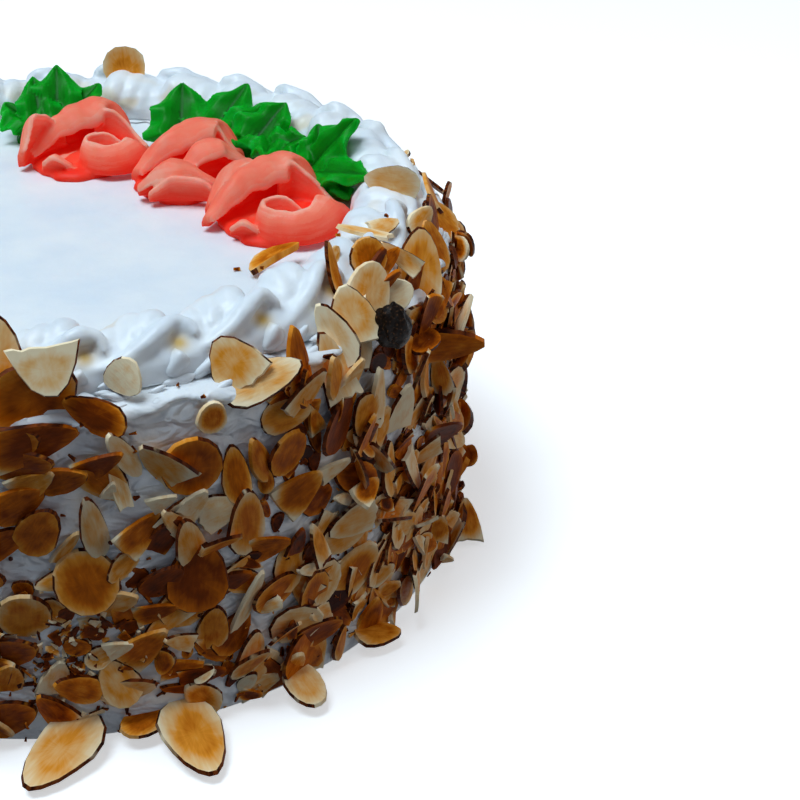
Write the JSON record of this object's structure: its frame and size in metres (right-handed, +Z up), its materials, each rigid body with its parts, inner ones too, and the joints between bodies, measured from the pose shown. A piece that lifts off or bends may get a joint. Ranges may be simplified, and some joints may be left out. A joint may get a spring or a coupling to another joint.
{
  "type": "cassata",
  "caption": "Whole round layer cake frosted in whipped cream, its side coated with toasted almond slices, with a piped border, ribbon flowers and leaves on top.",
  "frame": {"origin": "centre of the flat base", "axes": "+Z up through the cake, -Y towards the side the picture shows, with the flowers and leaves on the right and at the back (+X, +Y)"},
  "size_m": [0.2235, 0.2341, 0.1077],
  "materials": {
    "whipped_cream_body": "soft satin cream",
    "whipped_cream_border": "soft satin cream",
    "coral_icing": "satin icing",
    "green_icing": "satin icing",
    "dried_fruit": "wrinkled, slightly glossy"
  },
  "bodies": {
    "root": {"cake": "whipped_cream_body", "shell_border": "whipped_cream_border", "ribbon_flower_1": "coral_icing", "ribbon_flower_2": "coral_icing", "ribbon_flower_3": "coral_icing", "piped_leaves_left": "green_icing", "piped_leaves_middle": "green_icing", "piped_leaves_right": "green_icing", "raisin": "dried_fruit"}
  },
  "joints": []
}
